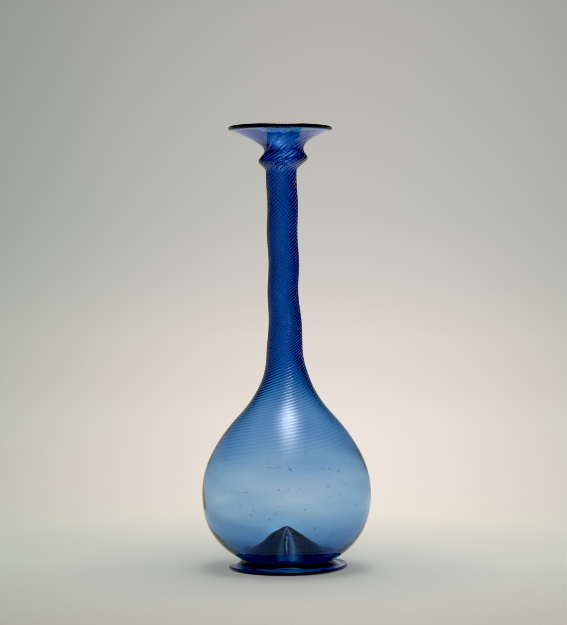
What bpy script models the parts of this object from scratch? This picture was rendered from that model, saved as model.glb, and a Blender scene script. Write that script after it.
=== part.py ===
"""A long-necked bottle of blown blue glass, ribbed in a spiral, in metres with +Z up.

It is one piece of glass: a thin round body with a pushed-in base, a long neck that leans a little,
a collar and a wide mouth, and a foot that was put on hot. The origin is in the middle of the base.
"""

import math

import bmesh
import bpy

MM = 0.001

# Foot, and the waist where it meets the body
WAIST_RADIUS = 32.2 * MM
WAIST_HEIGHT = 7.2 * MM
FOOT_OVERHANG = 8.5 * MM
FOOT_EDGE = 2.6 * MM
FOOT_TURN_UP = 4.0 * MM
FOOT_LIFT = 1.8 * MM
FOOT_CURL = 170.0
HEEL_WIDTH = 1.2 * MM

# Pushed-in base: the kick seen inside, and the hollow under it
KICK_HEIGHT = 28.9 * MM
KICK_WALL = 8.5 * MM
KICK_ROUND = 2.0 * MM
TROUGH_INSET = 2.8 * MM
TROUGH_RISE = 1.0 * MM

# Body and neck: outer radii, each rise from the level below, and the lean of the shoulder
BELLY_RADIUS = 57.8 * MM
BELLY_RISE = 45.7 * MM
BELLY_FULLNESS = 2.42
SHOULDER_RADIUS = 31.6 * MM
SHOULDER_RISE = 53.4 * MM
SHOULDER_LEAN = -0.93
NECK_FOOT_RADIUS = 12.3 * MM
NECK_FOOT_RISE = 43.1 * MM
NECK_FOOT_LEAN = -0.056
NECK_RADIUS = 10.4 * MM
NECK_TAPER_RISE = 48.0 * MM
NECK_LENGTH = 74.3 * MM

# Collar, throat and mouth
COLLAR_RADIUS = 16.7 * MM
COLLAR_RISE = 7.9 * MM
THROAT_RADIUS = 13.2 * MM
THROAT_RISE = 6.5 * MM
FLARE_REACH = 22.25 * MM
FLARE_RISE = 14.5 * MM
FLARE_SLOPE = 20.5
FLARE_UPRIGHT = 0.27
FLARE_SPREAD = 0.72
LIP_THICKNESS = 3.3 * MM
LIP_WAVE = 0.6 * MM

# Thickness of the glass
BELLY_WALL = 0.8 * MM
SHOULDER_WALL = 1.5 * MM
NECK_FOOT_WALL = 3.5 * MM
NECK_WALL = 3.5 * MM
COLLAR_WALL = 4.5 * MM
THROAT_WALL = 4.2 * MM
FLARE_WALL = 2.4 * MM

# How far each level strays sideways from the body's axis, and how far the top leans over
FOOT_SHIFT = 1.1 * MM
NECK_FOOT_SHIFT = -0.9 * MM
NECK_SHIFT = -2.2 * MM
NECK_TOP_SHIFT = -3.3 * MM
COLLAR_SHIFT = -2.4 * MM
THROAT_SHIFT = -1.8 * MM
MOUTH_SHIFT = -4.4 * MM
COLLAR_TILT = 0.065
TILT_START = 9.0 * MM
NECK_WOBBLE = 0.4 * MM
WOBBLE_PITCH = 39.8 * MM

# Spiral ribs: height for one turn at each level
RIBS = 20
RIB_DEPTH = 0.35 * MM
BELLY_PITCH = 60.0 * MM
SHOULDER_PITCH = 37.0 * MM
NECK_PITCH = 39.5 * MM
COLLAR_PITCH = 57.0 * MM
FLARE_PITCH = 110.0 * MM
RIB_FADE_START = 45.0 * MM
RIB_FADE_END = 18.0 * MM

# Fineness of the facets
BORE_SIDES = 20
SPIRAL_SAG = 0.46 * MM
OUTLINE_SAG = 0.2 * MM
LONGEST_ROW = 16.0 * MM
STEPS = 48

GLASS_BLUE = (0.012, 0.045, 0.21, 1.0)

# Levels, from the base upwards
BELLY_HEIGHT = WAIST_HEIGHT + BELLY_RISE
SHOULDER_HEIGHT = BELLY_HEIGHT + SHOULDER_RISE
NECK_FOOT_HEIGHT = SHOULDER_HEIGHT + NECK_FOOT_RISE
NECK_HEIGHT = NECK_FOOT_HEIGHT + NECK_TAPER_RISE
NECK_TOP_HEIGHT = NECK_HEIGHT + NECK_LENGTH
COLLAR_HEIGHT = NECK_TOP_HEIGHT + COLLAR_RISE
THROAT_HEIGHT = COLLAR_HEIGHT + THROAT_RISE
LIP_HEIGHT = THROAT_HEIGHT + FLARE_RISE
FOOT_RADIUS = WAIST_RADIUS + FOOT_OVERHANG
LIP_RADIUS = THROAT_RADIUS + FLARE_REACH - LIP_THICKNESS / 2


def blend(height, levels):
    """Reads a value off a list of (height, value) pairs, easing from each pair to the next."""
    if height <= levels[0][0]:
        return levels[0][1]
    for (low, before), (high, after) in zip(levels, levels[1:]):
        if height < high:
            share = (height - low) / (high - low)
            return before + (after - before) * share * share * (3 - 2 * share)
    return levels[-1][1]


def axis_shift(height):
    """Sideways place of the bottle's own axis at a height."""
    lean = blend(height, [
        (0.0, FOOT_SHIFT),
        (WAIST_HEIGHT, FOOT_SHIFT / 2),
        (BELLY_HEIGHT / 2, 0.0),
        (SHOULDER_HEIGHT, 0.0),
        (NECK_FOOT_HEIGHT, NECK_FOOT_SHIFT),
        (NECK_HEIGHT, NECK_SHIFT),
        (NECK_TOP_HEIGHT, NECK_TOP_SHIFT),
        (COLLAR_HEIGHT, COLLAR_SHIFT),
        (THROAT_HEIGHT, THROAT_SHIFT),
        (LIP_HEIGHT, MOUTH_SHIFT),
    ])
    swing = NECK_WOBBLE * blend(height, [
        (SHOULDER_HEIGHT, 0.0),
        (NECK_FOOT_HEIGHT, 1.0),
        (NECK_TOP_HEIGHT, 1.0),
        (COLLAR_HEIGHT, 0.0),
    ])
    phase = 2 * math.pi * (height - NECK_FOOT_HEIGHT) / WOBBLE_PITCH
    return lean - swing * math.cos(phase), -swing * math.sin(phase)


def tilt_at(height):
    """Slope of a level towards +X: the collar and the throat sit askew."""
    return blend(height, [
        (NECK_TOP_HEIGHT - TILT_START, 0.0),
        (COLLAR_HEIGHT, COLLAR_TILT),
        (THROAT_HEIGHT, COLLAR_TILT),
        (LIP_HEIGHT, 0.0),
    ])


def lip_lift(height, angle):
    """Height that the mouth waves up by, most at its front and back."""
    share = blend(height, [(THROAT_HEIGHT, 0.0), (LIP_HEIGHT, 1.0)])
    return LIP_WAVE * share * math.sin(angle) ** 2


def rib_height(height):
    """Half the depth of the ribs: full on the neck, gone on the belly and at the lip."""
    return RIB_DEPTH / 2 * blend(height, [
        (BELLY_HEIGHT + RIB_FADE_END, 0.0),
        (BELLY_HEIGHT + RIB_FADE_START, 1.0),
        (THROAT_HEIGHT, 1.0),
        (LIP_HEIGHT, 0.0),
    ])


def turn_rate(height):
    """Radians that the ribs turn for each metre of height, nothing below the end of the ribs."""
    rate = 2 * math.pi / blend(height, [
        (BELLY_HEIGHT + RIB_FADE_START, BELLY_PITCH),
        (SHOULDER_HEIGHT, SHOULDER_PITCH),
        (NECK_FOOT_HEIGHT, SHOULDER_PITCH),
        (NECK_HEIGHT, NECK_PITCH),
        (NECK_TOP_HEIGHT, COLLAR_PITCH),
        (THROAT_HEIGHT, COLLAR_PITCH),
        (LIP_HEIGHT, FLARE_PITCH),
    ])
    return rate * blend(height, [
        (BELLY_HEIGHT + RIB_FADE_END, 0.0),
        (BELLY_HEIGHT + RIB_FADE_START, 1.0),
    ])


def add_turns(path):
    """Gives each point of an outline, (radius, height), the angle that its ribs have turned by."""
    turned = []
    angle = 0.0
    before = path[0][1]
    for radius, height in path:
        rise = max(height - before, 0.0)
        angle += rise * turn_rate((height + before) / 2)
        before = height
        turned.append((radius, height, angle))
    return turned


def bezier(start, first, second, end):
    """Points along a curve with two handles, without its last one."""
    points = []
    for step in range(STEPS):
        t = step / STEPS
        s = 1 - t
        weights = (s ** 3, 3 * s * s * t, 3 * s * t * t, t ** 3)
        corners = (start, first, second, end)
        points.append(tuple(sum(w * c[axis] for w, c in zip(weights, corners)) for axis in (0, 1)))
    return points


def rise_curve(low, high):
    """Smooth outline between two levels, each given as (radius, height, lean)."""
    third = (high[1] - low[1]) / 3
    first = (low[0] + low[2] * third, low[1] + third)
    second = (high[0] - high[2] * third, high[1] - third)
    return bezier(low[:2], first, second, high[:2])


def bowl(low_radius, low_height, belly_radius):
    """Round lower half of the body, from a narrow level up to the belly."""
    reach = 1 - (low_radius / belly_radius) ** 2
    points = []
    for step in range(STEPS):
        share = (step / STEPS) ** 1.5
        height = low_height + (BELLY_HEIGHT - low_height) * share
        radius = belly_radius * math.sqrt(1 - reach * (1 - share) ** BELLY_FULLNESS)
        points.append((radius, height))
    return points


def kick_slope():
    """Steepness of the kick's sides away from its rounded top."""
    trough = WAIST_RADIUS - TROUGH_INSET
    drop = KICK_HEIGHT - WAIST_HEIGHT - TROUGH_RISE
    return drop / (math.hypot(trough, KICK_ROUND) - KICK_ROUND)


def kick(top, widest):
    """Cone with a rounded top, from its lowest ring to its top on the axis."""
    points = []
    for step in range(STEPS + 1):
        radius = widest * (1 - step / STEPS)
        height = top + kick_slope() * (KICK_ROUND - math.hypot(radius, KICK_ROUND))
        points.append((radius, height))
    return points


def hollow():
    """Hollow under the kick, from the axis out to the ring that the bottle stands on."""
    drop = KICK_WALL * math.hypot(1.0, kick_slope())
    cone = kick(KICK_HEIGHT - drop, WAIST_RADIUS - TROUGH_INSET - KICK_WALL)
    cone.reverse()
    last = cone.pop()
    ring = (WAIST_RADIUS - HEEL_WIDTH, 0.0)
    reach = (ring[0] - last[0]) / 2
    outwards = (last[0] + reach, last[1] - reach * kick_slope())
    upwards = (ring[0], last[1] / 2)
    return cone + bezier(last, outwards, upwards, ring) + [ring]


def foot_rim():
    """Round edge of the foot and its hollowed upper side, from the flat ring up to the waist."""
    half = FOOT_EDGE / 2
    middle = (FOOT_RADIUS - half, half)
    points = [(FOOT_RADIUS - FOOT_TURN_UP, 0.0)]
    for step in range(STEPS):
        angle = math.radians(FOOT_CURL * step / STEPS - 90)
        points.append((middle[0] + half * math.cos(angle), middle[1] + half * math.sin(angle)))
    top = (middle[0], FOOT_EDGE)
    inwards = (top[0] - FOOT_OVERHANG / 2, FOOT_EDGE * 1.1)
    upwards = (WAIST_RADIUS - HEEL_WIDTH / 3, (FOOT_EDGE + WAIST_HEIGHT) / 2)
    return points + bezier(top, inwards, upwards, (WAIST_RADIUS, WAIST_HEIGHT))


def side(inner):
    """Levels of the body, neck, collar and throat, as (radius, height, lean), outside or inside."""
    levels = [
        (BELLY_RADIUS, BELLY_HEIGHT, 0.0, BELLY_WALL),
        (SHOULDER_RADIUS, SHOULDER_HEIGHT, SHOULDER_LEAN, SHOULDER_WALL),
        (NECK_FOOT_RADIUS, NECK_FOOT_HEIGHT, NECK_FOOT_LEAN, NECK_FOOT_WALL),
        (NECK_RADIUS, NECK_HEIGHT, 0.0, NECK_WALL),
        (NECK_RADIUS, NECK_TOP_HEIGHT, 0.0, NECK_WALL),
        (COLLAR_RADIUS, COLLAR_HEIGHT, 0.0, COLLAR_WALL),
        (THROAT_RADIUS, THROAT_HEIGHT, 0.0, THROAT_WALL),
    ]
    if not inner:
        return [(radius, height, lean) for radius, height, lean, wall in levels]
    inside = []
    for radius, height, lean, wall in levels:
        across = wall / math.hypot(1.0, lean)
        inside.append((radius - across, height + across * lean, lean))
    return inside


def tall_part(inner):
    """Outline from the belly to the throat."""
    levels = side(inner)
    points = []
    for low, high in zip(levels, levels[1:]):
        points += rise_curve(low, high)
    return points


def flare(inner):
    """Spreading mouth from the throat to the lip, under or above the glass."""
    throat = side(inner)[-1]
    slope = math.radians(FLARE_SLOPE)
    along = (math.cos(slope), math.sin(slope))
    bead = LIP_THICKNESS / 2
    half = FLARE_WALL / 2
    back = math.sqrt(max(bead * bead - half * half, 0.0))
    offset = half if inner else -half
    end = (
        LIP_RADIUS - back * along[0] - offset * along[1],
        LIP_HEIGHT - back * along[1] + offset * along[0],
    )
    handle = FLARE_SPREAD * (end[0] - throat[0])
    rise = FLARE_UPRIGHT * (end[1] - throat[1])
    upwards = (throat[0], throat[1] + rise)
    inwards = (end[0] - handle * along[0], end[1] - handle * along[1])
    return bezier(throat[:2], upwards, inwards, end) + [end]


def lip():
    """Thick round edge of the mouth, from under the flare to above it."""
    bead = LIP_THICKNESS / 2
    spread = 180.0 - math.degrees(math.asin(min(FLARE_WALL / LIP_THICKNESS, 1.0)))
    points = []
    for step in range(1, STEPS):
        angle = math.radians(FLARE_SLOPE + spread * (2 * step / STEPS - 1))
        points.append((LIP_RADIUS + bead * math.cos(angle), LIP_HEIGHT + bead * math.sin(angle)))
    return points


def unturned(path, turn=0.0):
    """Gives every point of an outline the same angle."""
    return [(radius, height, turn) for radius, height in path]


def outside():
    """Outer outline as stretches with a corner between them: hollow, foot, and the rest to the lip."""
    body = bowl(WAIST_RADIUS, WAIST_HEIGHT, BELLY_RADIUS)
    tall = add_turns(body + tall_part(inner=False) + flare(inner=False))
    mouth = unturned(lip(), tall[-1][2])
    return [unturned(hollow()), unturned(foot_rim()), tall + mouth]


def inside():
    """Inner outline from the flare down to the top of the kick, with a corner at the trough."""
    trough = WAIST_RADIUS - TROUGH_INSET
    upper = bowl(trough, WAIST_HEIGHT + TROUGH_RISE, BELLY_RADIUS - BELLY_WALL)
    upper += tall_part(inner=True) + flare(inner=True)
    upper.reverse()
    return [unturned(upper[:-1]), unturned(kick(KICK_HEIGHT, trough))]


def strays(path, start, end):
    """How far an outline bulges from the straight line between two of its points."""
    r0, z0 = path[start][:2]
    r1, z1 = path[end][:2]
    length = math.hypot(r1 - r0, z1 - z0)
    farthest = 0.0
    for radius, height, _ in path[start + 1:end]:
        across = abs((radius - r0) * (z1 - z0) - (height - z0) * (r1 - r0)) / length
        farthest = max(farthest, across)
    return farthest


def fits_one_row(path, start, end):
    """Says whether one row of facets can follow the outline and the spiral between two points."""
    (r0, z0, turn0), (r1, z1, turn1) = path[start], path[end]
    sag = max(r0, r1) * (turn1 - turn0) ** 2 / 8
    long_row = math.hypot(r1 - r0, z1 - z0) > LONGEST_ROW
    return sag <= SPIRAL_SAG and not long_row and strays(path, start, end) <= OUTLINE_SAG


def pick_rows(path):
    """Keeps the fewest points that hold an outline and its spiral."""
    kept = [path[0]]
    start = 0
    while start < len(path) - 1:
        end = start + 1
        while end + 1 < len(path) and fits_one_row(path, start, end + 1):
            end += 1
        kept.append(path[end])
        start = end
    return kept


def foot_lift(radius, angle):
    """Height that the foot's rim is bent up by, most towards +X."""
    flat = FOOT_RADIUS - FOOT_TURN_UP
    share = min(max((radius - flat) / FOOT_TURN_UP, 0.0), 1.0)
    return FOOT_LIFT * share * (1 + math.cos(angle)) / 2


def ring_points(row, sides, ribbed):
    """Points of one level round the bottle: every second one is a rib's crest where it is ribbed."""
    radius, height, turn = row
    side_shift, depth_shift = axis_shift(height)
    tilt = tilt_at(height)
    points = []
    for index in range(sides):
        angle = turn + 2 * math.pi * index / sides
        crest = rib_height(height) * (-1) ** index if ribbed else 0.0
        x = (radius + crest) * math.cos(angle)
        y = (radius + crest) * math.sin(angle)
        z = height + tilt * x + lip_lift(height, angle)
        if height < WAIST_HEIGHT:
            z += foot_lift(radius, angle)
        points.append((side_shift + x, depth_shift + y, z, angle))
    return points


def add_ring(bm, row, sides, ribbed):
    """Adds one level's points, or a single one on the axis, as (point, angle) pairs."""
    if row[0] < 1e-6:
        shift = axis_shift(row[1])
        return [(bm.verts.new((shift[0], shift[1], row[1])), 0.0)]
    return [(bm.verts.new(point[:3]), point[3]) for point in ring_points(row, sides, ribbed)]


def join_even(bm, lower, upper):
    """Joins two rings of as many points, along the ribs and across by the shorter way."""
    count = len(lower)
    for index in range(count):
        a = lower[index][0]
        b = lower[(index + 1) % count][0]
        c = upper[(index + 1) % count][0]
        d = upper[index][0]
        if (a.co - c.co).length < (b.co - d.co).length:
            bm.faces.new((a, b, c))
            bm.faces.new((a, c, d))
        else:
            bm.faces.new((a, b, d))
            bm.faces.new((b, c, d))


def join_uneven(bm, lower, upper):
    """Joins rings of different counts, stepping along whichever one lags behind in angle."""
    whole = 2 * math.pi
    first = lower[0][1]
    start = min(range(len(upper)), key=lambda i: abs((upper[i][1] - first + math.pi) % whole - math.pi))
    far = upper[start:] + upper[:start]
    i = 0
    j = 0
    while i < len(lower) or j < len(far):
        near_vert = lower[i % len(lower)][0]
        far_vert = far[j % len(far)][0]
        if j == len(far) or (i < len(lower) and (i + 1) / len(lower) <= (j + 1) / len(far)):
            bm.faces.new((near_vert, lower[(i + 1) % len(lower)][0], far_vert))
            i += 1
        else:
            bm.faces.new((near_vert, far[(j + 1) % len(far)][0], far_vert))
            j += 1


def join_rings(bm, lower, upper):
    """Joins two neighbouring levels, one of which may be a single point."""
    if len(lower) == 1 or len(upper) == 1:
        tip = lower[0][0] if len(lower) == 1 else upper[0][0]
        ring = upper if len(lower) == 1 else lower
        for index in range(len(ring)):
            bm.faces.new((tip, ring[index][0], ring[(index + 1) % len(ring)][0]))
    elif len(lower) == len(upper):
        join_even(bm, lower, upper)
    else:
        join_uneven(bm, lower, upper)


def glass_material():
    """Deep blue glass, polished by the fire."""
    material = bpy.data.materials.new("cobalt_glass")
    material.use_nodes = True
    shader = material.node_tree.nodes["Principled BSDF"]
    shader.inputs["Base Color"].default_value = GLASS_BLUE
    shader.inputs["Roughness"].default_value = 0.04
    shader.inputs["Metallic"].default_value = 0.0
    shader.inputs["Transmission Weight"].default_value = 0.9
    shader.inputs["IOR"].default_value = 1.52
    return material


def make_bottle():
    """Builds the bottle as one closed skin: up the outside, over the lip and down the inside."""
    bm = bmesh.new()
    rings = []
    for path in outside():
        rings += [add_ring(bm, row, 2 * RIBS, ribbed=True) for row in pick_rows(path)]
    for path in inside():
        rings += [add_ring(bm, row, BORE_SIDES, ribbed=False) for row in pick_rows(path)]
    for lower, upper in zip(rings, rings[1:]):
        join_rings(bm, lower, upper)
    bmesh.ops.recalc_face_normals(bm, faces=bm.faces)
    mesh = bpy.data.meshes.new("bottle")
    bm.to_mesh(mesh)
    bm.free()
    mesh.shade_smooth()
    mesh.set_sharp_from_angle(angle=math.radians(40))
    mesh.materials.append(glass_material())
    bottle = bpy.data.objects.new("bottle", mesh)
    bpy.context.scene.collection.objects.link(bottle)
    return bottle


for leftover in list(bpy.data.objects):
    bpy.data.objects.remove(leftover, do_unlink=True)

bottle = make_bottle()
print(f"bottle: {len(bottle.data.polygons)} facets, {LIP_HEIGHT + LIP_THICKNESS / 2:.4f} m tall")
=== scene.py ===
# %% [markdown]
# A long-necked bottle of blown blue glass.
#
# The real bottle was blown from one gather of hot glass: dipped in a ribbed mould, pulled and twisted
# into a long neck, then blown out into a thin round body. This lesson builds it the same way round:
# first the outline, then the thickness of the glass, then the spiral ribs, and last the small faults
# that old glass is full of. Clear glass has almost no surface pattern, so nearly everything that the
# eye sees comes from the shape of its two skins and from how much glass the light passes through.
# The glass is therefore one closed mesh with true walls, and not a shell with a colour painted on it.

# %% Load the solid that this dressing stands for
import math

import bpy
import numpy as np
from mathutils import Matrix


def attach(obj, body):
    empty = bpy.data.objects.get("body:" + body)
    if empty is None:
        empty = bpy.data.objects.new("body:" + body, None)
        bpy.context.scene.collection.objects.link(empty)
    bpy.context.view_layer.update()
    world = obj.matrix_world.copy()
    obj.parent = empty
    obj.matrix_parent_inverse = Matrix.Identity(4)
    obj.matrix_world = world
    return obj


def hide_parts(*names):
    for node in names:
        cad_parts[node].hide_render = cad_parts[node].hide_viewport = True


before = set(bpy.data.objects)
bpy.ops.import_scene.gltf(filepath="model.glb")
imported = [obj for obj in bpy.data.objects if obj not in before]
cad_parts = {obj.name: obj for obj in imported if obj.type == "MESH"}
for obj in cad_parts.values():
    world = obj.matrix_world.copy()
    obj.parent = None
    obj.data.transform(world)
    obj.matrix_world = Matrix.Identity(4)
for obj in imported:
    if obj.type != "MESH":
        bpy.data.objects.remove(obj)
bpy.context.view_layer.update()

# %% [markdown]
# Sizes are written in millimetres, as callipers show them, and turned to metres here. Colours are
# written as hex values, as a colour picker shows them. Blender mixes light in linear values, so one
# function turns each hex value to linear.

# %% Units and colours
MM = 0.001


def linear(hex_colour):
    """Turns an sRGB hex colour such as "#1a2b3c" to the linear values that shaders use."""
    values = []
    for start in (1, 3, 5):
        share = int(hex_colour[start:start + 2], 16) / 255
        values.append(share / 12.92 if share <= 0.04045 else ((share + 0.055) / 1.055) ** 2.4)
    return (*values, 1.0)


print("mid grey #808080 is", round(linear("#808080")[0], 3), "in linear light")

# %% [markdown]
# The camera comes first, so that every later step can be judged against the photograph. The foot is
# seen from above and the mouth from a little below, which fixes the height of the lens, and how much
# the two ellipses differ gives its distance. A long lens keeps the bottle's sides nearly parallel.

# %% Camera
CAMERA_DISTANCE = 1.5
CAMERA_HEIGHT = 0.222
CAMERA_SIDE = -2.1 * MM
LENS = 126.6
PITCH_DOWN = 1.78

camera_data = bpy.data.cameras.new("camera")
camera_data.lens = LENS
camera_data.sensor_width = 36.0
camera = bpy.data.objects.new("camera", camera_data)
camera.location = (CAMERA_SIDE, -CAMERA_DISTANCE, CAMERA_HEIGHT)
camera.rotation_euler = (math.radians(90.0 - PITCH_DOWN), 0.0, 0.0)
bpy.context.scene.collection.objects.link(camera)
bpy.context.scene.camera = camera
print("camera", tuple(round(value, 3) for value in camera.location), "lens", LENS, "mm")

# %% [markdown]
# The outline is a handful of levels that a glassblower would check with callipers: the waist over the
# foot, the belly, the shoulder, the neck, the collar, the throat and the lip. Between two levels runs
# one smooth curve that leaves each level with its own lean. The thickness of the glass belongs to the
# level too: thin on the belly, where the bubble was blown widest, and thick up the neck.

# %% Levels of the outline
WAIST_RADIUS, WAIST_HEIGHT = 32.2 * MM, 7.2 * MM
FOOT_OVERHANG, FOOT_EDGE, FOOT_TURN_UP, FOOT_LIFT = 8.5 * MM, 2.6 * MM, 4.0 * MM, 1.8 * MM
HEEL_WIDTH = 1.2 * MM
KICK_HEIGHT, KICK_WALL, KICK_ROUND = 28.9 * MM, 8.5 * MM, 2.0 * MM
TROUGH_INSET, TROUGH_RISE = 2.8 * MM, 1.0 * MM
BELLY_HEIGHT = WAIST_HEIGHT + 45.7 * MM
BELLY_FULLNESS = 2.42
SHOULDER_HEIGHT = BELLY_HEIGHT + 53.4 * MM
NECK_FOOT_HEIGHT = SHOULDER_HEIGHT + 43.1 * MM
NECK_HEIGHT = NECK_FOOT_HEIGHT + 48.0 * MM
NECK_TOP_HEIGHT = NECK_HEIGHT + 74.3 * MM
COLLAR_HEIGHT = NECK_TOP_HEIGHT + 7.9 * MM
THROAT_HEIGHT = COLLAR_HEIGHT + 6.5 * MM
LIP_HEIGHT = THROAT_HEIGHT + 14.5 * MM
LIP_RADIUS, LIP_THICKNESS = 33.8 * MM, 3.3 * MM
FLARE_SLOPE, FLARE_WALL = math.radians(20.5), 2.4 * MM
FOOT_RADIUS = WAIST_RADIUS + FOOT_OVERHANG

# Each level: outer radius, height, lean of the outline, thickness of the glass
LEVELS = [
    (57.8 * MM, BELLY_HEIGHT, 0.0, 0.8 * MM),
    (31.6 * MM, SHOULDER_HEIGHT, -0.93, 1.5 * MM),
    (12.3 * MM, NECK_FOOT_HEIGHT, -0.056, 3.5 * MM),
    (10.4 * MM, NECK_HEIGHT, 0.0, 3.5 * MM),
    (10.4 * MM, NECK_TOP_HEIGHT, 0.0, 3.5 * MM),
    (16.7 * MM, COLLAR_HEIGHT, 0.0, 4.5 * MM),
    (13.2 * MM, THROAT_HEIGHT, 0.0, 4.2 * MM),
]
STEPS = 200
steps = np.linspace(0.0, 1.0, STEPS, endpoint=False)


def bezier(start, first, second, end):
    """Points (radius, height) along a curve with two handles, without its last one."""
    t = steps[:, None]
    s = 1.0 - t
    corners = [np.array(corner) for corner in (start, first, second, end)]
    return s**3 * corners[0] + 3*s*s*t * corners[1] + 3*s*t*t * corners[2] + t**3 * corners[3]


def levels_of(skin):
    """The levels as (radius, height, lean) on the outer skin, or moved in by the glass's thickness."""
    if skin == "outer":
        return [level[:3] for level in LEVELS]
    inside = []
    for radius, height, lean, wall in LEVELS:
        across = wall / math.hypot(1.0, lean)
        inside.append((radius - across, height + across * lean, lean))
    return inside


def tall_part(skin):
    """Outline from the belly to the throat: one curve between each two levels."""
    curves = []
    levels = levels_of(skin)
    for low, high in zip(levels, levels[1:]):
        third = (high[1] - low[1]) / 3
        first = (low[0] + low[2] * third, low[1] + third)
        second = (high[0] - high[2] * third, high[1] - third)
        curves.append(bezier(low[:2], first, second, high[:2]))
    return np.vstack(curves)


print("levels", [(round(r / MM, 1), round(z / MM, 1)) for r, z, *rest in LEVELS])

# %% [markdown]
# The lower half of the body is a round bowl, a little fuller than a ball, as hot glass sags. The base
# was pushed up with a rod into a cone, the kick, which makes the bottle stand on a ring and not on its
# scar. The hollow under it follows the kick at the thickness of the glass.

# %% Bowl, kick and hollow
def bowl(low_radius, low_height, belly_radius):
    """Round lower half of the body, from a narrow level up to the belly."""
    reach = 1.0 - (low_radius / belly_radius) ** 2
    share = steps ** 1.5
    radius = belly_radius * np.sqrt(1.0 - reach * (1.0 - share) ** BELLY_FULLNESS)
    return np.column_stack([radius, low_height + (BELLY_HEIGHT - low_height) * share])


def kick_slope():
    """Steepness of the kick's sides away from its rounded top."""
    drop = KICK_HEIGHT - WAIST_HEIGHT - TROUGH_RISE
    return drop / (math.hypot(WAIST_RADIUS - TROUGH_INSET, KICK_ROUND) - KICK_ROUND)


KICK_DROP = KICK_WALL * math.hypot(1.0, kick_slope())


def kick(top, widest):
    """Cone with a rounded top, from its lowest ring to its top on the axis."""
    radius = widest * (1.0 - steps)
    return np.column_stack([radius, top + kick_slope() * (KICK_ROUND - np.hypot(radius, KICK_ROUND))])


def hollow():
    """Hollow under the kick, from the axis out to the flat ring that the bottle stands on."""
    cone = kick(KICK_HEIGHT - KICK_DROP, WAIST_RADIUS - TROUGH_INSET - KICK_WALL)[::-1]
    ring = (WAIST_RADIUS - HEEL_WIDTH, 0.0)
    reach = (ring[0] - cone[-1][0]) / 2
    outwards = (cone[-1][0] + reach, cone[-1][1] - reach * kick_slope())
    heel = bezier(cone[-1], outwards, (ring[0], cone[-1][1] / 2), ring)
    return np.vstack([cone[:-1], heel, [ring]])


print("hollow is", round((KICK_HEIGHT - KICK_DROP) / MM, 1), "mm deep")

# %% [markdown]
# The foot is a disc of glass put on hot, with a rounded edge and a hollowed upper side. The mouth was
# spun open into a wide flare, and the fire drew its edge up into a bead. An arc or a curve with two
# handles is enough for each. The points are then picked at even gaps, so that the facets come out even.

# %% Foot, mouth and lip
FOOT_CURL, FOOT_DISH = 170.0, 1.1
FLARE_UPRIGHT, FLARE_SPREAD = 0.27, 0.72


def foot_rim():
    """Flat ring, round edge of the foot and its hollowed upper side, up to the waist."""
    half = FOOT_EDGE / 2
    angle = np.radians(-90.0 + FOOT_CURL * steps)
    edge = np.column_stack([FOOT_RADIUS - half + half * np.cos(angle), half + half * np.sin(angle)])
    inwards = (FOOT_RADIUS - half - FOOT_OVERHANG / 2, FOOT_EDGE * FOOT_DISH)
    upwards = (WAIST_RADIUS - HEEL_WIDTH / 3, (FOOT_EDGE + WAIST_HEIGHT) / 2)
    side = bezier((FOOT_RADIUS - half, FOOT_EDGE), inwards, upwards, (WAIST_RADIUS, WAIST_HEIGHT))
    return np.vstack([[(FOOT_RADIUS - FOOT_TURN_UP, 0.0)], edge, side])


def flare(skin):
    """Spreading mouth from the throat to the lip, under the glass or above it."""
    throat = levels_of(skin)[-1]
    along = np.array([math.cos(FLARE_SLOPE), math.sin(FLARE_SLOPE)])
    across = np.array([-along[1], along[0]]) * (-1 if skin == "outer" else 1)
    back = math.sqrt((LIP_THICKNESS / 2) ** 2 - (FLARE_WALL / 2) ** 2)
    end = np.array([LIP_RADIUS, LIP_HEIGHT]) - back * along + across * FLARE_WALL / 2
    upwards = (throat[0], throat[1] + FLARE_UPRIGHT * (end[1] - throat[1]))
    return bezier(throat[:2], upwards, end - along * FLARE_SPREAD * (end[0] - throat[0]), end)


def lip():
    """Thick round edge of the mouth, where the fire drew the glass up into a bead."""
    spread = math.pi - math.asin(FLARE_WALL / LIP_THICKNESS)
    angle = FLARE_SLOPE + spread * (2.0 * steps - 1.0)
    bead = LIP_THICKNESS / 2
    return np.column_stack([LIP_RADIUS + bead * np.cos(angle), LIP_HEIGHT + bead * np.sin(angle)])


def spaced(path, gap):
    """Picks points along an outline at even gaps, so that the facets come out even."""
    lengths = np.concatenate([[0.0], np.cumsum(np.hypot(*np.diff(path, axis=0).T))])
    count = max(int(round(lengths[-1] / gap)), 2)
    wanted = np.linspace(0.0, lengths[-1], count + 1)
    return np.column_stack([np.interp(wanted, lengths, path[:, axis]) for axis in (0, 1)])


mouth_width = 2 * LIP_RADIUS + LIP_THICKNESS
print("foot", round(2 * FOOT_RADIUS / MM, 1), "mm and mouth", round(mouth_width / MM, 1), "mm across")

# %% [markdown]
# Hand work is never quite straight. The neck leans and wanders a little as it cooled, the collar sits
# askew, and one side of the foot is bent up. These are eased between the levels with a smooth step,
# the same for both skins, so the wall keeps its thickness.

# %% Lean, wobble and tilt
FOOT_SHIFT = 1.1 * MM
COLLAR_TILT = 0.065
LIP_WAVE = 0.6 * MM
NECK_WOBBLE, WOBBLE_PITCH = 0.4 * MM, 39.8 * MM


def ease(height, *pairs):
    """Reads values off (height, value) pairs, easing smoothly from each pair to the next."""
    height = np.asarray(height, dtype=float)
    value = np.full_like(height, pairs[0][1])
    for (low, before), (high, after) in zip(pairs, pairs[1:]):
        share = np.clip((height - low) / (high - low), 0.0, 1.0)
        value = value + (after - before) * share * share * (3.0 - 2.0 * share)
    return value


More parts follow.
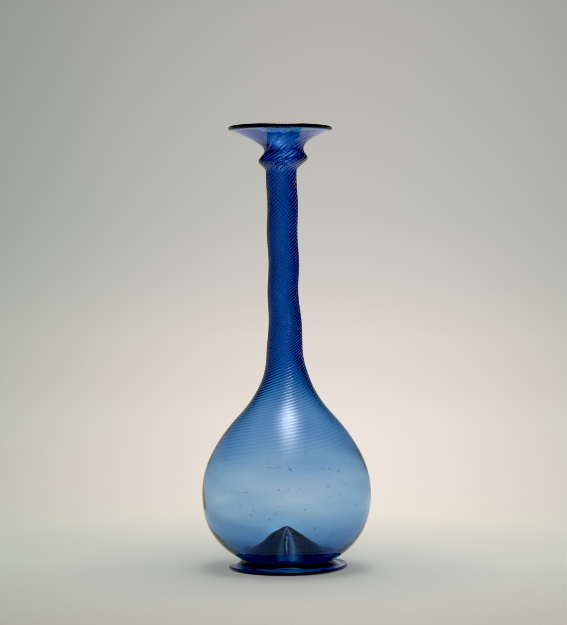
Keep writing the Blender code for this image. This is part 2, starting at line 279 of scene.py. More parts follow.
def axis_shift(height):
    """Sideways place of the bottle's own axis at each height, as x and y."""
    lean = ease(
        height, (0.0, FOOT_SHIFT), (WAIST_HEIGHT, FOOT_SHIFT / 2), (BELLY_HEIGHT / 2, 0.0),
        (SHOULDER_HEIGHT, 0.0), (NECK_FOOT_HEIGHT, -0.9 * MM), (NECK_HEIGHT, -2.2 * MM),
        (NECK_TOP_HEIGHT, -3.3 * MM), (COLLAR_HEIGHT, -2.4 * MM), (THROAT_HEIGHT, -1.8 * MM),
        (LIP_HEIGHT, -4.4 * MM),
    )
    swing = NECK_WOBBLE * ease(
        height, (SHOULDER_HEIGHT, 0.0), (NECK_FOOT_HEIGHT, 1.0), (NECK_TOP_HEIGHT, 1.0),
        (COLLAR_HEIGHT, 0.0),
    )
    phase = 2.0 * math.pi * (height - NECK_FOOT_HEIGHT) / WOBBLE_PITCH
    return lean - swing * np.cos(phase), -swing * np.sin(phase)


def tilt_at(height):
    """Slope of each level towards +X."""
    return ease(
        height, (NECK_TOP_HEIGHT - 9.0 * MM, 0.0), (COLLAR_HEIGHT, COLLAR_TILT),
        (THROAT_HEIGHT, COLLAR_TILT), (LIP_HEIGHT, 0.0),
    )


def foot_lift(radius, angle):
    """Height that the foot's rim is bent up by, most towards +X."""
    share = np.clip((radius - FOOT_RADIUS + FOOT_TURN_UP) / FOOT_TURN_UP, 0.0, 1.0)
    return FOOT_LIFT * share * (1.0 + np.cos(angle)) / 2


print("top of the neck stands", round(float(axis_shift(NECK_TOP_HEIGHT)[0]) / MM, 1), "mm aside")

# %% [markdown]
# The ribs come from a mould with twenty flutes. Pulling and twisting the hot neck winds them into a
# fine right-handed spiral, steep at the top and almost level on the shoulder, and blowing the body out
# stretches them away. The mesh's own columns of points follow the ribs, so a few points across each
# rib are enough to draw it without a step.

# %% Spiral ribs
RIBS = 20
RIB_DEPTH = 0.32 * MM
POINTS_PER_RIB = 8
RIBS_END, RIBS_FAINT = BELLY_HEIGHT + 14.0 * MM, BELLY_HEIGHT + 50.0 * MM
TURN_START, TURN_FULL = BELLY_HEIGHT - 30.0 * MM, BELLY_HEIGHT + 8.0 * MM


def turns_up_to(height):
    """Angle that the ribs have turned by at each height, summed from the height of one turn."""
    levels = np.linspace(0.0, LIP_HEIGHT + LIP_THICKNESS, 4000)
    pitch = ease(
        levels, (BELLY_HEIGHT + 18.0 * MM, 60.0 * MM), (SHOULDER_HEIGHT, 37.0 * MM),
        (NECK_FOOT_HEIGHT, 37.5 * MM), (NECK_HEIGHT, 39.5 * MM), (NECK_TOP_HEIGHT, 57.0 * MM),
        (THROAT_HEIGHT, 57.0 * MM), (LIP_HEIGHT, 110.0 * MM),
    )
    rate = 2.0 * math.pi / pitch * ease(levels, (TURN_START, 0.0), (TURN_FULL, 1.0))
    angle = np.concatenate([[0.0], np.cumsum((rate[1:] + rate[:-1]) / 2 * np.diff(levels))])
    return np.interp(height, levels, angle)


def rib_depth(height):
    """Half the depth of the ribs at each height."""
    return RIB_DEPTH / 2 * ease(
        height, (RIBS_END, 0.0), (RIBS_FAINT, 0.2), (NECK_FOOT_HEIGHT, 1.0), (THROAT_HEIGHT, 1.0),
        (LIP_HEIGHT, 0.0),
    )


print("ribs make", round(float(turns_up_to(LIP_HEIGHT)) / (2.0 * math.pi), 2), "turns")

# %% [markdown]
# Old glass was melted in small pots and never mixed well, so it holds streaks of slightly thicker and
# thinner glass that were drawn out sideways as the body was blown. They are made here by moving the
# inner skin in long low waves, mostly by less than a tenth of a millimetre. The colour then varies by
# itself. Short waves would act as lenses and bend the kick that shows through the wall.

# %% Streaks in the wall
STREAK_DEPTH = 0.19
STREAK_WAVES = 40


def streaks(angle, height):
    """Share by which the wall is thicker or thinner, from long waves that run nearly level."""
    random = np.random.RandomState(7)
    total = np.zeros(np.broadcast(angle, height).shape)
    for _ in range(STREAK_WAVES):
        around = random.randint(1, 7)
        upwards = random.uniform(60.0, 600.0)
        phase = random.uniform(0.0, 2.0 * math.pi)
        strength = random.uniform(0.3, 1.0) * 120.0 / (60.0 + upwards)
        total += strength * np.sin(around * angle + upwards * height + phase)
    return STREAK_DEPTH * total / math.sqrt(STREAK_WAVES / 4)


sample = streaks(np.linspace(0.0, 2.0 * math.pi, 90), np.linspace(0.0, SHOULDER_HEIGHT, 90)[:, None])
moved = float(np.abs(sample).mean()) * LEVELS[0][3]
print("streaks move the inner skin by", round(moved / MM, 3), "mm on average")

# %% [markdown]
# Each skin is a grid: rings of points up the outline, and columns round the axis. A closed skin needs
# no thickness modifier, so the wall can differ from place to place. The outer grid runs from the top
# of the hollow, round the foot, up the body and over the lip, and the inner grid runs on down to the
# top of the kick.

# %% Grids of points
OUTER_COLUMNS = RIBS * POINTS_PER_RIB
INNER_COLUMNS = 120
HOLLOW_GAP, FOOT_GAP = 1.6 * MM, 0.6 * MM
BODY_GAP, MOUTH_GAP, INNER_GAP = 0.95 * MM, 0.75 * MM, 1.7 * MM


def placed(path, columns, ribbed):
    """Turns outline points to a grid of positions, with ribs, lean, tilt and the bent foot."""
    radius, height = path[:, :1], path[:, 1:]
    turn = turns_up_to(height) if ribbed else 0.0
    angle = turn + np.arange(columns)[None, :] * 2.0 * math.pi / columns
    if ribbed:
        across = np.arange(columns)[None, :] * 2.0 * math.pi / POINTS_PER_RIB
        radius = radius + rib_depth(height) * np.cos(across)
    else:
        wall = LEVELS[0][3] * ease(
            height, (WAIST_HEIGHT * 2, 0.0), (BELLY_HEIGHT / 2, 1.0), (THROAT_HEIGHT, 1.0),
            (LIP_HEIGHT, 0.0),
        )
        on_kick = (height < KICK_HEIGHT + MM) & (radius < WAIST_RADIUS)
        radius = radius - np.where(on_kick, 0.0, wall) * streaks(angle, height)
    side_shift, depth_shift = axis_shift(height)
    x = radius * np.cos(angle)
    y = radius * np.sin(angle)
    z = height + tilt_at(height) * x
    z = z + np.where(height < WAIST_HEIGHT, foot_lift(radius, angle), 0.0)
    z = z + LIP_WAVE * ease(height, (THROAT_HEIGHT, 0.0), (LIP_HEIGHT, 1.0)) * np.sin(angle) ** 2
    return np.stack([x + side_shift, y + depth_shift, z + 0.0 * x], axis=-1)


outer_bowl = bowl(WAIST_RADIUS, WAIST_HEIGHT, LEVELS[0][0])
outer_path = np.vstack([
    spaced(hollow(), HOLLOW_GAP)[1:],
    spaced(foot_rim(), FOOT_GAP),
    spaced(np.vstack([outer_bowl, tall_part("outer")]), BODY_GAP)[1:],
    spaced(np.vstack([flare("outer"), lip()]), MOUTH_GAP)[1:],
])
trough = WAIST_RADIUS - TROUGH_INSET
upper_path = np.vstack([
    bowl(trough, WAIST_HEIGHT + TROUGH_RISE, levels_of("inner")[0][0]),
    tall_part("inner"),
    flare("inner"),
])
inner_path = np.vstack([
    spaced(upper_path[::-1], INNER_GAP)[1:],
    spaced(kick(KICK_HEIGHT, trough), INNER_GAP)[1:-1],
])
outer_grid = placed(outer_path, OUTER_COLUMNS, ribbed=True)
inner_grid = placed(inner_path, INNER_COLUMNS, ribbed=False)
print("outer grid", outer_grid.shape[:2], "inner grid", inner_grid.shape[:2])

# %% [markdown]
# The grids become faces: four-sided between rings, three-sided round the two points on the axis and
# where the lip joins rings of different counts. Plain lists of point numbers do this with no modifier,
# and the order of each face's points decides which side is the outside of the glass.

# %% Faces between rings
def grid_faces(rings, columns, first):
    """Four-sided faces between neighbouring rings of one grid, whose points start at number first."""
    faces = []
    for ring in range(rings - 1):
        low = first + ring * columns
        for column in range(columns):
            after = (column + 1) % columns
            faces.append((low + column, low + after, low + columns + after, low + columns + column))
    return faces


def seam_faces(low_first, low_count, high_first, high_count, offset):
    """Three-sided faces between two rings of different counts, stepping along the one that lags."""
    faces = []
    low = 0
    high = 0
    while low < low_count or high < high_count:
        near = low_first + low % low_count
        far = high_first + (high + offset) % high_count
        if high == high_count or (low < low_count and (low + 1) / low_count <= (high + 1) / high_count):
            faces.append((near, low_first + (low + 1) % low_count, far))
            low += 1
        else:
            faces.append((near, high_first + (high + 1 + offset) % high_count, far))
            high += 1
    return faces


def fan_faces(tip, first, count, flip):
    """Three-sided faces round a point on the axis."""
    faces = [(tip, first + (column + 1) % count, first + column) for column in range(count)]
    return [face[::-1] for face in faces] if flip else faces


print("one ring of the outer grid makes", len(grid_faces(2, OUTER_COLUMNS, 0)), "faces")

# %% [markdown]
# Small faults sit inside the wall of the body: bubbles and grains. Each is placed where it shows from
# the front, on the near or the far wall, then laid flat in the middle of the glass. The lumps are real
# meshes and not a painted pattern, so they move against each other when the camera turns.

# %% Lumps in the wall
LUMP_COLUMNS, LUMP_ROWS = 10, 5
LUMP_DEPTH = 0.4 * MM
FARTHEST_ASIDE = 0.97


def place_in_wall(across, height, front):
    """Point in the middle of the body's wall, and which way is out, from its place as it is seen."""
    outline = np.vstack([outer_bowl, tall_part("outer")])
    radius = float(np.interp(height, outline[:, 1], outline[:, 0]))
    slope = (float(np.interp(height + MM, outline[:, 1], outline[:, 0])) - radius) / MM
    angle = math.asin(np.clip(across / radius, -FARTHEST_ASIDE, FARTHEST_ASIDE)) * (1 if front else -1)
    angle += math.radians(-90.0 if front else 90.0)
    out = np.array([math.cos(angle), math.sin(angle), -slope]) / math.hypot(1.0, slope)
    side_shift, depth_shift = axis_shift(height)
    point = np.array([radius * math.cos(angle) + side_shift, radius * math.sin(angle) + depth_shift, height])
    return point - out * LEVELS[0][3] / 2, out


def pebble(middle, out, width, tall, thick, inverted):
    """Small rounded lump as points and faces, turned to lie in the wall."""
    side = np.cross(out, (0.0, 0.0, 1.0))
    side = side / np.linalg.norm(side)
    up = np.cross(side, out)
    points = []
    for row in range(1, LUMP_ROWS):
        bend = math.pi * row / LUMP_ROWS
        for column in range(LUMP_COLUMNS):
            turn = 2.0 * math.pi * column / LUMP_COLUMNS
            level = side * width / 2 * math.cos(turn) + out * thick / 2 * math.sin(turn)
            points.append(middle + level * math.sin(bend) + up * tall / 2 * math.cos(bend))
    points += [middle + up * tall / 2, middle - up * tall / 2]
    faces = grid_faces(LUMP_ROWS - 1, LUMP_COLUMNS, 0)
    faces += fan_faces(len(points) - 2, 0, LUMP_COLUMNS, flip=True)
    faces += fan_faces(len(points) - 1, len(points) - 2 - LUMP_COLUMNS, LUMP_COLUMNS, flip=False)
    return points, faces if inverted else [face[::-1] for face in faces]


def scatter(places, size, inverted):
    """Joins a pebble at every place to one list of points and one of faces."""
    random = np.random.RandomState(11)
    points, faces = [], []
    for across, height, front in places:
        middle, out = place_in_wall(across, height, front)
        width, tall, thick = (value * random.uniform(0.6, 1.2) for value in size)
        more, links = pebble(middle, out, width, tall, min(thick, LUMP_DEPTH), inverted)
        faces += [tuple(index + len(points) for index in face) for face in links]
        points += more
    return points, faces


print("lumps are", round(LUMP_DEPTH / LEVELS[0][3], 2), "of the wall deep at most")

# %% [markdown]
# Now the two grids, the seams and the two tips on the axis are put in one list of points and one of
# faces. Every face is shaded smooth, because fire-polished glass has no facets.

# %% Skin of the bottle
outer_points = outer_grid.reshape(-1, 3)
inner_points = inner_grid.reshape(-1, 3)
foot_x = float(axis_shift(np.array(KICK_HEIGHT - KICK_DROP))[0])
kick_x = float(axis_shift(np.array(KICK_HEIGHT))[0])
tips = [(foot_x, 0.0, KICK_HEIGHT - KICK_DROP), (kick_x, 0.0, KICK_HEIGHT)]
points = np.vstack([outer_points, inner_points, tips])
inner_first = len(outer_points)
last_ring = inner_first - OUTER_COLUMNS
lip_turn = float(turns_up_to(LIP_HEIGHT)) / (2.0 * math.pi)
faces = grid_faces(len(outer_grid), OUTER_COLUMNS, 0)
faces += grid_faces(len(inner_grid), INNER_COLUMNS, inner_first)
lip_offset = round(lip_turn * INNER_COLUMNS) % INNER_COLUMNS
faces += seam_faces(last_ring, OUTER_COLUMNS, inner_first, INNER_COLUMNS, lip_offset)
faces += fan_faces(len(points) - 2, 0, OUTER_COLUMNS, flip=False)
faces += fan_faces(len(points) - 1, len(points) - 2 - INNER_COLUMNS, INNER_COLUMNS, flip=True)


def add_piece(name, points, faces, material):
    """Makes a smooth-shaded mesh object in the scene."""
    mesh = bpy.data.meshes.new(name)
    mesh.from_pydata([tuple(point) for point in points], [], faces)
    mesh.shade_smooth()
    mesh.materials.append(material)
    piece = bpy.data.objects.new(name, mesh)
    bpy.context.scene.collection.objects.link(piece)
    return piece


print("skin", len(points), "points and", len(faces), "faces")

# %% [markdown]
# Soda-lime glass bends light by about 1.52 and was polished by the furnace flame, so it is clear and
# smooth. Its blue is cobalt, dissolved all through it, which takes red out of the light first and then
# green: the thin belly is sky blue and the thick neck, foot and kick are navy. That is why the colour
# is an absorption inside the glass and not a paint on its surface. The surface colour stays white.

# %% Cobalt glass
def add_node(tree, kind, settings=None, links=None):
    """Adds one node, sets its input values or attributes, and links other sockets to its inputs."""
    node = tree.nodes.new(kind)
    for name, value in (settings or {}).items():
        if isinstance(name, int) or name in node.inputs:
            node.inputs[name].default_value = value
        else:
            setattr(node, name, value)
    for name, socket in (links or {}).items():
        tree.links.new(socket, node.inputs[name])
    return node


GLASS_IOR = 1.52
COBALT_TINT = "#58c4f2"
COBALT_DENSITY = 690.0

# Fire-polished soda-lime glass: sharp, weak reflections, and a blue that deepens with thickness
cobalt_glass = bpy.data.materials.new("cobalt_soda_lime_glass")
cobalt_glass.use_nodes = True
tree = cobalt_glass.node_tree
tree.nodes.clear()
surface = add_node(tree, "ShaderNodeBsdfPrincipled", {
    "Base Color": (1.0, 1.0, 1.0, 1.0),
    "Roughness": 0.0,
    "Metallic": 0.0,
    "IOR": GLASS_IOR,
    "Transmission Weight": 1.0,
})
absorption = add_node(tree, "ShaderNodeVolumeAbsorption", {
    "Color": linear(COBALT_TINT),
    "Density": COBALT_DENSITY,
})
add_node(tree, "ShaderNodeOutputMaterial", links={
    "Surface": surface.outputs["BSDF"],
    "Volume": absorption.outputs["Volume"],
})
print("cobalt glass has an index of", GLASS_IOR, "and a colour density of", COBALT_DENSITY, "per metre")

# %% [markdown]
# Seeds are small bubbles that stayed in the melt. A seed is a lump with its faces turned inwards,
# joined to the mesh of the bottle, so that the renderer sees a gap filled with air. A bubble bends
# light and has no colour, so most of them show as faint marks only. Rather more than half of them lie
# in the front wall, and the rest in the wall behind.

# %% Seeds in the glass
SEED_COUNT = 70
SEED_SIZE = (1.4 * MM, 0.6 * MM, 0.3 * MM)

random = np.random.RandomState(5)
seeds = []
for _ in range(SEED_COUNT):
    across, height = random.uniform(-50, 50) * MM, random.uniform(26, 84) * MM
    seeds.append((across, height, random.rand() < 0.6))
seed_points, seed_faces = scatter(seeds, SEED_SIZE, inverted=True)
faces += [tuple(index + len(points) for index in face) for face in seed_faces]
points = np.vstack([points, seed_points])
bottle_glass = add_piece("bottle_glass", points, faces, cobalt_glass)
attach(bottle_glass, "root")
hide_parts("bottle")
print("bottle_glass", sum(len(face) - 2 for face in faces), "triangles")

# %% [markdown]
# Stones are grains of unmelted sand and furnace brick. They were drawn out in short level threads when
# the body was blown, so most lie in rows and a few lie alone. Each is a lump about a millimetre long in
# the middle of the wall, drawn a little coarser than real grit so that it shows. The grain is grey,
# and its colour is set to a dull dark blue, because it is seen through blue glass.

# %% Stones in the wall
STONE_SIZE = (0.9 * MM, 0.38 * MM, 0.28 * MM)
STONES_PER_THREAD, LOOSE_STONES = 5, 20
THREAD_SPREAD = 0.9

# Each thread of grit: where it starts and ends across the front, and its height, in millimetres
THREADS = [
    (-54, -46, 72.5), (-43, -32, 69.5), (-12, -1, 74.0), (0, 8, 73.0), (36, 47, 75.0), (24, 31, 72.5),
    (33, 36, 71.5), (-38, -24, 58.0), (18, 22, 34.5), (20, 29, 30.0), (-6, 4, 60.0),
]

# Furnace grit: dull and opaque, so it shows as a dark speck with no gleam
furnace_stone = bpy.data.materials.new("furnace_stone_grit")
furnace_stone.use_nodes = True
furnace_stone.node_tree.nodes.clear()
grit = add_node(furnace_stone.node_tree, "ShaderNodeBsdfPrincipled", {
    "Base Color": linear("#23446e"),
    "Roughness": 0.7,
    "IOR": 1.45,
})
add_node(furnace_stone.node_tree, "ShaderNodeOutputMaterial", links={"Surface": grit.outputs["BSDF"]})
stones = []
for start, end, height in THREADS:
    for _ in range(STONES_PER_THREAD):
        across = random.uniform(start, end)
        stones.append((across * MM, (height + random.uniform(-THREAD_SPREAD, THREAD_SPREAD)) * MM, True))
for _ in range(LOOSE_STONES):
    stones.append((random.uniform(-48, 48) * MM, random.uniform(28, 84) * MM, random.rand() < 0.5))
stone_points, stone_faces = scatter(stones, STONE_SIZE, inverted=False)
stone_grit = add_piece("stone_grit", stone_points, stone_faces, furnace_stone)
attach(stone_grit, "root")
print("stone_grit", len(stones), "stones")

# %% [markdown]
# The hollow under the kick is lined with a thin dark sheet, a painted shade: it stands in for the shade
# under the base, so that little light comes up through the base and the thick glass over it reads as
# deep navy. It is a single skin, a tenth of a millimetre under the glass, rough and dark brown-grey.

# %% Painted shade in the hollow
SHADE_SHEET_GAP = 0.1 * MM

# Painted shade: rough, with no gleam, so it swallows the light that reaches it through the glass
kick_shade_material = bpy.data.materials.new("painted_kick_shade")
kick_shade_material.use_nodes = True
kick_shade_material.node_tree.nodes.clear()
kick_shade_surface = add_node(kick_shade_material.node_tree, "ShaderNodeBsdfPrincipled", {
    "Base Color": linear("#3e3a36"),
    "Roughness": 0.9,
    "IOR": 1.45,
})
add_node(kick_shade_material.node_tree, "ShaderNodeOutputMaterial", links={"Surface": kick_shade_surface.outputs["BSDF"]})
lining = spaced(hollow(), HOLLOW_GAP)[1:-3] - np.array([SHADE_SHEET_GAP, 1.5 * SHADE_SHEET_GAP])
lining_grid = placed(lining, INNER_COLUMNS, ribbed=True)
lining_points = [tuple(point) for point in lining_grid.reshape(-1, 3)]
lining_points.append((foot_x, 0.0, KICK_HEIGHT - KICK_DROP - 2 * SHADE_SHEET_GAP))
lining_faces = grid_faces(len(lining_grid), INNER_COLUMNS, 0)
lining_faces += fan_faces(len(lining_points) - 1, 0, INNER_COLUMNS, flip=False)
kick_shade_sheet = add_piece("kick_shade_sheet", lining_points, lining_faces, kick_shade_material)
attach(kick_shade_sheet, "root")
print("kick_shade_sheet", len(lining_faces), "faces")

# %% [markdown]
# The stage is a wide pale floor that curves up into a wall all round, as a photographer's paper roll
# does behind the object. Near the bottle part of the paper's light comes from the lamp, so that the
# bottle casts a soft shadow, and the rest is a glow of its own: painted light that stands in for the
# light which thin glass lets through, darker and bluer right by the bottle as a painted shadow. Farther
# out it shines by itself, brightest low behind the bottle as a painted pool of light. The wall is dark
# above the camera's view and dim on the camera's side, because clear glass shows whatever is round it:
# with a pale room on all sides the neck would look milky, and the ribs would vanish. Each place of the
# paper has its climb, which is its distance from the bottle's axis plus its height. A ramp of glow
# colours runs over it.

# %% Paper, its colours by the climb
CLIMB_TOP = 6.0

# Paper roll: no mirror image of the bottle; part matt, with the lamp's soft shadow, part painted glow
paper = bpy.data.materials.new("paper_roll_with_painted_glow")
paper.use_nodes = True
tree = paper.node_tree
tree.nodes.clear()
place = add_node(tree, "ShaderNodeTexCoord").outputs["Object"]
parts = add_node(tree, "ShaderNodeSeparateXYZ", links={"Vector": place})
flat_place = add_node(tree, "ShaderNodeVectorMath", {
    "operation": "MULTIPLY", 1: (1.0, 1.0, 0.0),
}, {0: place})
away = add_node(tree, "ShaderNodeVectorMath", {"operation": "LENGTH"}, {0: flat_place.outputs["Vector"]})


def sum_of(value, factor, addend):
    """Node for value * factor + addend, where each may be a number or a socket."""
    settings, links = {"operation": "MULTIPLY_ADD"}, {}
    for index, item in enumerate((value, factor, addend)):
        (settings if isinstance(item, float) else links)[index] = item
    return add_node(tree, "ShaderNodeMath", settings, links).outputs["Value"]


climb = sum_of(parts.outputs["Z"], 1.0, away.outputs["Value"])
ramp = add_node(tree, "ShaderNodeValToRGB", links={"Fac": sum_of(climb, 1.0 / CLIMB_TOP, 0.0)})
# The first stop, darker and bluer, is a painted shadow round the foot; the palest stops, low behind the
# bottle, are a painted pool of light.
STAGE_GLOW_COLOURS = [
    (0.04, "#b2b8b6"), (0.16, "#dcdad0"), (0.30, "#ebe5da"), (0.57, "#efe4dc"), (1.27, "#ece4db"),
    (2.01, "#e6ddd5"), (2.30, "#e0d9d0"), (2.60, "#d0cdc6"), (2.85, "#c5c4be"), (3.52, "#b5b4ae"),
    (3.90, "#9a9a96"), (4.40, "#28263c"), (5.80, "#201e34"),
]
for index, (distance, colour) in enumerate(STAGE_GLOW_COLOURS):
    stops = ramp.color_ramp.elements
    stop = stops[index] if index < 2 else stops.new(distance / CLIMB_TOP)
    stop.position = distance / CLIMB_TOP
    stop.color = linear(colour)
print("paper has", len(STAGE_GLOW_COLOURS), "tones over a climb of", CLIMB_TOP, "m")

# %% [markdown]
# To the left and right the paper grows dimmer and a little greener, by a bell-shaped share that widens
# with the climb. A bell has no edge, so the light seems to fall off by itself. It never falls below a
# least share, so the paper is still pale behind the bottle when it is seen from the side.

# %% Paper, dimmer to the sides
GLOW_SIDE, GLOW_DRIFT = 0.03, 0.02
GLOW_WIDTH, GLOW_SPREAD = 0.175, 0.112
SIDE_LIGHT = 0.26
EDGE_TINT = "#a2b6ae"

aside = sum_of(parts.outputs["X"], 1.0, sum_of(climb, -GLOW_DRIFT, -GLOW_SIDE))
width = sum_of(climb, GLOW_SPREAD, GLOW_WIDTH)
share = add_node(tree, "ShaderNodeMath", {"operation": "DIVIDE"}, {0: aside, 1: width}).outputs["Value"]
squared = add_node(tree, "ShaderNodeMath", {"operation": "MULTIPLY"}, {0: share, 1: share}).outputs["Value"]
halved = sum_of(squared, -0.5, 0.0)
bell = add_node(tree, "ShaderNodeMath", {"operation": "EXPONENT"}, {0: halved}).outputs["Value"]
least = add_node(tree, "ShaderNodeMath", {"operation": "MAXIMUM", 1: SIDE_LIGHT}, {0: bell}).outputs["Value"]
dim = add_node(tree, "ShaderNodeMix", {
    "data_type": "RGBA", "blend_type": "MIX", 6: linear(EDGE_TINT), 7: (1.0, 1.0, 1.0, 1.0),
}, {0: least})
toned = add_node(tree, "ShaderNodeMix", {"data_type": "RGBA", "blend_type": "MULTIPLY", 0: 1.0}, {
    6: ramp.outputs["Color"], 7: dim.outputs[2],
})
print("sides fall to", SIDE_LIGHT, "of the way from", EDGE_TINT, "to white")

# %% [markdown]
# The last step of the paper sets how strongly it shines. The wall shines fully behind the bottle and
# faintly on the camera's side, and the floor dims towards the camera. Close to the bottle part of the
# glow gives way to plain matt paper, which is where the softbox casts the shadow; the glow that is left
# there is darker and bluer, a painted shadow.

# %% Paper, dimmer to the front
FRONT_LIGHT, FRONT_TURN, BACK_TURN = 0.25, -0.9, 0.8
FLOOR_END, WALL_START = 0.5, 2.0
FRONT_FLOOR, FRONT_PLACE, BACK_PLACE = 0.7, -0.22, 0.04
# Painted light: close to the bottle this share of the paper glows by itself, for the light that thin glass
# lets through.
PAPER_GLOW, GLOW_START, GLOW_FULL = 0.6, 0.03, 0.36
PAPER_COLOUR = "#d3dfe3"

unit = add_node(tree, "ShaderNodeVectorMath", {"operation": "NORMALIZE"}, {0: flat_place.outputs["Vector"]})
unit_parts = add_node(tree, "ShaderNodeSeparateXYZ", links={"Vector": unit.outputs["Vector"]})
behind = add_node(tree, "ShaderNodeMapRange", {
    "interpolation_type": "SMOOTHSTEP", "From Min": FRONT_TURN, "From Max": BACK_TURN,
    "To Min": FRONT_LIGHT,
}, {"Value": unit_parts.outputs["Y"]})
near_floor = add_node(tree, "ShaderNodeMapRange", {
    "interpolation_type": "SMOOTHSTEP", "From Min": FLOOR_END, "From Max": WALL_START,
    "To Min": 1.0, "To Max": 0.0,
}, {"Value": climb})
depth = add_node(tree, "ShaderNodeMapRange", {
    "From Min": FRONT_PLACE, "From Max": BACK_PLACE, "To Min": FRONT_FLOOR,
}, {"Value": parts.outputs["Y"]})
on_floor = add_node(tree, "ShaderNodeMath", {"operation": "MULTIPLY"}, {
    0: near_floor.outputs["Result"], 1: depth.outputs["Result"],
})
strength = add_node(tree, "ShaderNodeMath", {"operation": "MAXIMUM"}, {
    0: behind.outputs["Result"], 1: on_floor.outputs["Value"],
})
glow = add_node(tree, "ShaderNodeEmission", links={
    "Color": toned.outputs[2], "Strength": strength.outputs["Value"],
})
matt = add_node(tree, "ShaderNodeBsdfDiffuse", {"Color": linear(PAPER_COLOUR), "Roughness": 0.0})
far = add_node(tree, "ShaderNodeMapRange", {
    "interpolation_type": "SMOOTHSTEP", "From Min": GLOW_START, "From Max": GLOW_FULL,
    "To Min": PAPER_GLOW,
}, {"Value": climb})
surface = add_node(tree, "ShaderNodeMixShader", links={
    0: far.outputs["Result"], 1: matt.outputs["BSDF"], 2: glow.outputs["Emission"],
})
add_node(tree, "ShaderNodeOutputMaterial", links={"Surface": surface.outputs["Shader"]})
print("paper has", len(tree.nodes), "nodes")

# %% [markdown]
# The paper's shape is one profile turned round the bottle: flat floor, a quarter round and a wall. It
# runs all the way round, so that every view has the same kind of backdrop and the glass has a whole
# room to mirror.

# %% Stage
FLOOR_FLAT, COVE_RADIUS, WALL_TOP = 1.9, 1.0, 3.0
FLOOR_RINGS, COVE_RINGS, STAGE_COLUMNS = 39, 23, 96


def stage_profile():
    """Outline of the stage from its middle outwards: flat floor, quarter round and wall."""
    flat = [(radius, 0.0) for radius in np.linspace(0.0, FLOOR_FLAT, FLOOR_RINGS + 1)[1:]]
    corner = np.linspace(0.0, math.pi / 2, COVE_RINGS + 1)[1:]
    cove = [(FLOOR_FLAT + COVE_RADIUS * math.sin(a), COVE_RADIUS * (1.0 - math.cos(a))) for a in corner]
    return np.array(flat + cove + [(FLOOR_FLAT + COVE_RADIUS, WALL_TOP)])


profile = stage_profile()
angles = np.arange(STAGE_COLUMNS) * 2.0 * math.pi / STAGE_COLUMNS
rings = [[(r * math.cos(a), r * math.sin(a), z) for a in angles] for r, z in profile]
stage_points = [point for ring in rings for point in ring] + [(0.0, 0.0, 0.0)]
stage_faces = [face[::-1] for face in grid_faces(len(rings), STAGE_COLUMNS, 0)]
stage_faces += fan_faces(len(stage_points) - 1, 0, STAGE_COLUMNS, flip=True)
stage = add_piece("stage", stage_points, stage_faces, paper)
print("stage is", 2 * (FLOOR_FLAT + COVE_RADIUS), "m across and", WALL_TOP, "m high")

# %% [markdown]
# One softbox hangs straight over the bottle. It is bright in its middle and fades out to its edges like
# a bell, because a softbox with hard edges would be mirrored as a hard white rectangle. It draws the
# soft highlight on the shoulder, the light down the kick and the shadow round the foot. Its light is
# a little warm, because part of each highlight comes from the inner skin and turns bluer on its way
# back through the glass. The world gives only a little light.

# %% Light
SOFTBOX_WIDTH, SOFTBOX_LENGTH = 1.4, 3.0
SOFTBOX_HEIGHT = 1.25
BELL_WIDTH, BELL_LENGTH = 0.17, 0.38
SOFTBOX_TINT = "#fff0de"
SOFTBOX_RADIANCE = 11.4
SOFTBOX_PLACE = (0.06, -0.03)
WORLD_LIGHT = 0.2

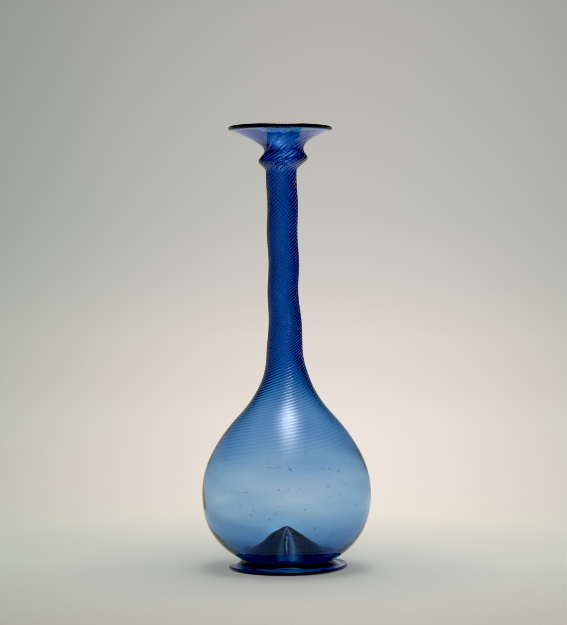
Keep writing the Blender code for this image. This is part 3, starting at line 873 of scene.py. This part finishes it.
softbox_data = bpy.data.lights.new("overhead_softbox", "AREA")
softbox_data.shape = "RECTANGLE"
softbox_data.size = SOFTBOX_WIDTH
softbox_data.size_y = SOFTBOX_LENGTH
softbox_data.energy = SOFTBOX_RADIANCE * math.pi * SOFTBOX_WIDTH * SOFTBOX_LENGTH
softbox_data.use_nodes = True
tree = softbox_data.node_tree
tree.nodes.clear()
square = add_node(tree, "ShaderNodeNewGeometry").outputs["Parametric"]
centred = add_node(tree, "ShaderNodeVectorMath", {"operation": "SUBTRACT", 1: (0.5, 0.5, 0.0)}, {0: square})
scaled = add_node(tree, "ShaderNodeVectorMath", {
    "operation": "MULTIPLY", 1: (SOFTBOX_WIDTH / BELL_WIDTH, SOFTBOX_LENGTH / BELL_LENGTH, 0.0),
}, {0: centred.outputs["Vector"]})
distance = add_node(tree, "ShaderNodeVectorMath", {"operation": "DOT_PRODUCT"}, {
    0: scaled.outputs["Vector"], 1: scaled.outputs["Vector"],
})
halved = add_node(tree, "ShaderNodeMath", {"operation": "MULTIPLY", 1: -0.5}, {0: distance.outputs["Value"]})
bell = add_node(tree, "ShaderNodeMath", {"operation": "EXPONENT"}, {0: halved.outputs["Value"]})
lamp = add_node(tree, "ShaderNodeEmission", {"Color": linear(SOFTBOX_TINT)}, {
    "Strength": bell.outputs["Value"],
})
add_node(tree, "ShaderNodeOutputLight", links={"Surface": lamp.outputs["Emission"]})
softbox = bpy.data.objects.new("overhead_softbox", softbox_data)
softbox.location = (*SOFTBOX_PLACE, SOFTBOX_HEIGHT)
bpy.context.scene.collection.objects.link(softbox)

world = bpy.data.worlds.new("studio")
world.use_nodes = True
world.node_tree.nodes["Background"].inputs["Color"].default_value = (1.0, 1.0, 1.0, 1.0)
world.node_tree.nodes["Background"].inputs["Strength"].default_value = WORLD_LIGHT
bpy.context.scene.world = world
print("softbox", SOFTBOX_WIDTH, "x", SOFTBOX_LENGTH, "m, hung at", SOFTBOX_HEIGHT, "m")

# %% [markdown]
# The photograph's tones are plain, so the Standard view is used, with a small black point that deepens
# the darkest tones as the camera did. Light passes many skins of glass on its way through the neck, so
# it may bounce often before it is given up. A narrow pixel filter keeps the fine ribs sharp.

# %% View
BLACK_POINT = 0.016
GLASS_BOUNCES = 24

scene = bpy.context.scene
scene.view_settings.view_transform = "Standard"
scene.view_settings.use_curve_mapping = True
scene.view_settings.curve_mapping.black_level = (BLACK_POINT, BLACK_POINT, BLACK_POINT)
scene.view_settings.curve_mapping.update()
scene.cycles.use_denoising = True
scene.cycles.filter_width = 0.9
scene.cycles.max_bounces = GLASS_BOUNCES
scene.cycles.transmission_bounces = GLASS_BOUNCES
scene.cycles.glossy_bounces = 8
scene.cycles.diffuse_bounces = 3
print("black point", BLACK_POINT, "and", GLASS_BOUNCES, "bounces")
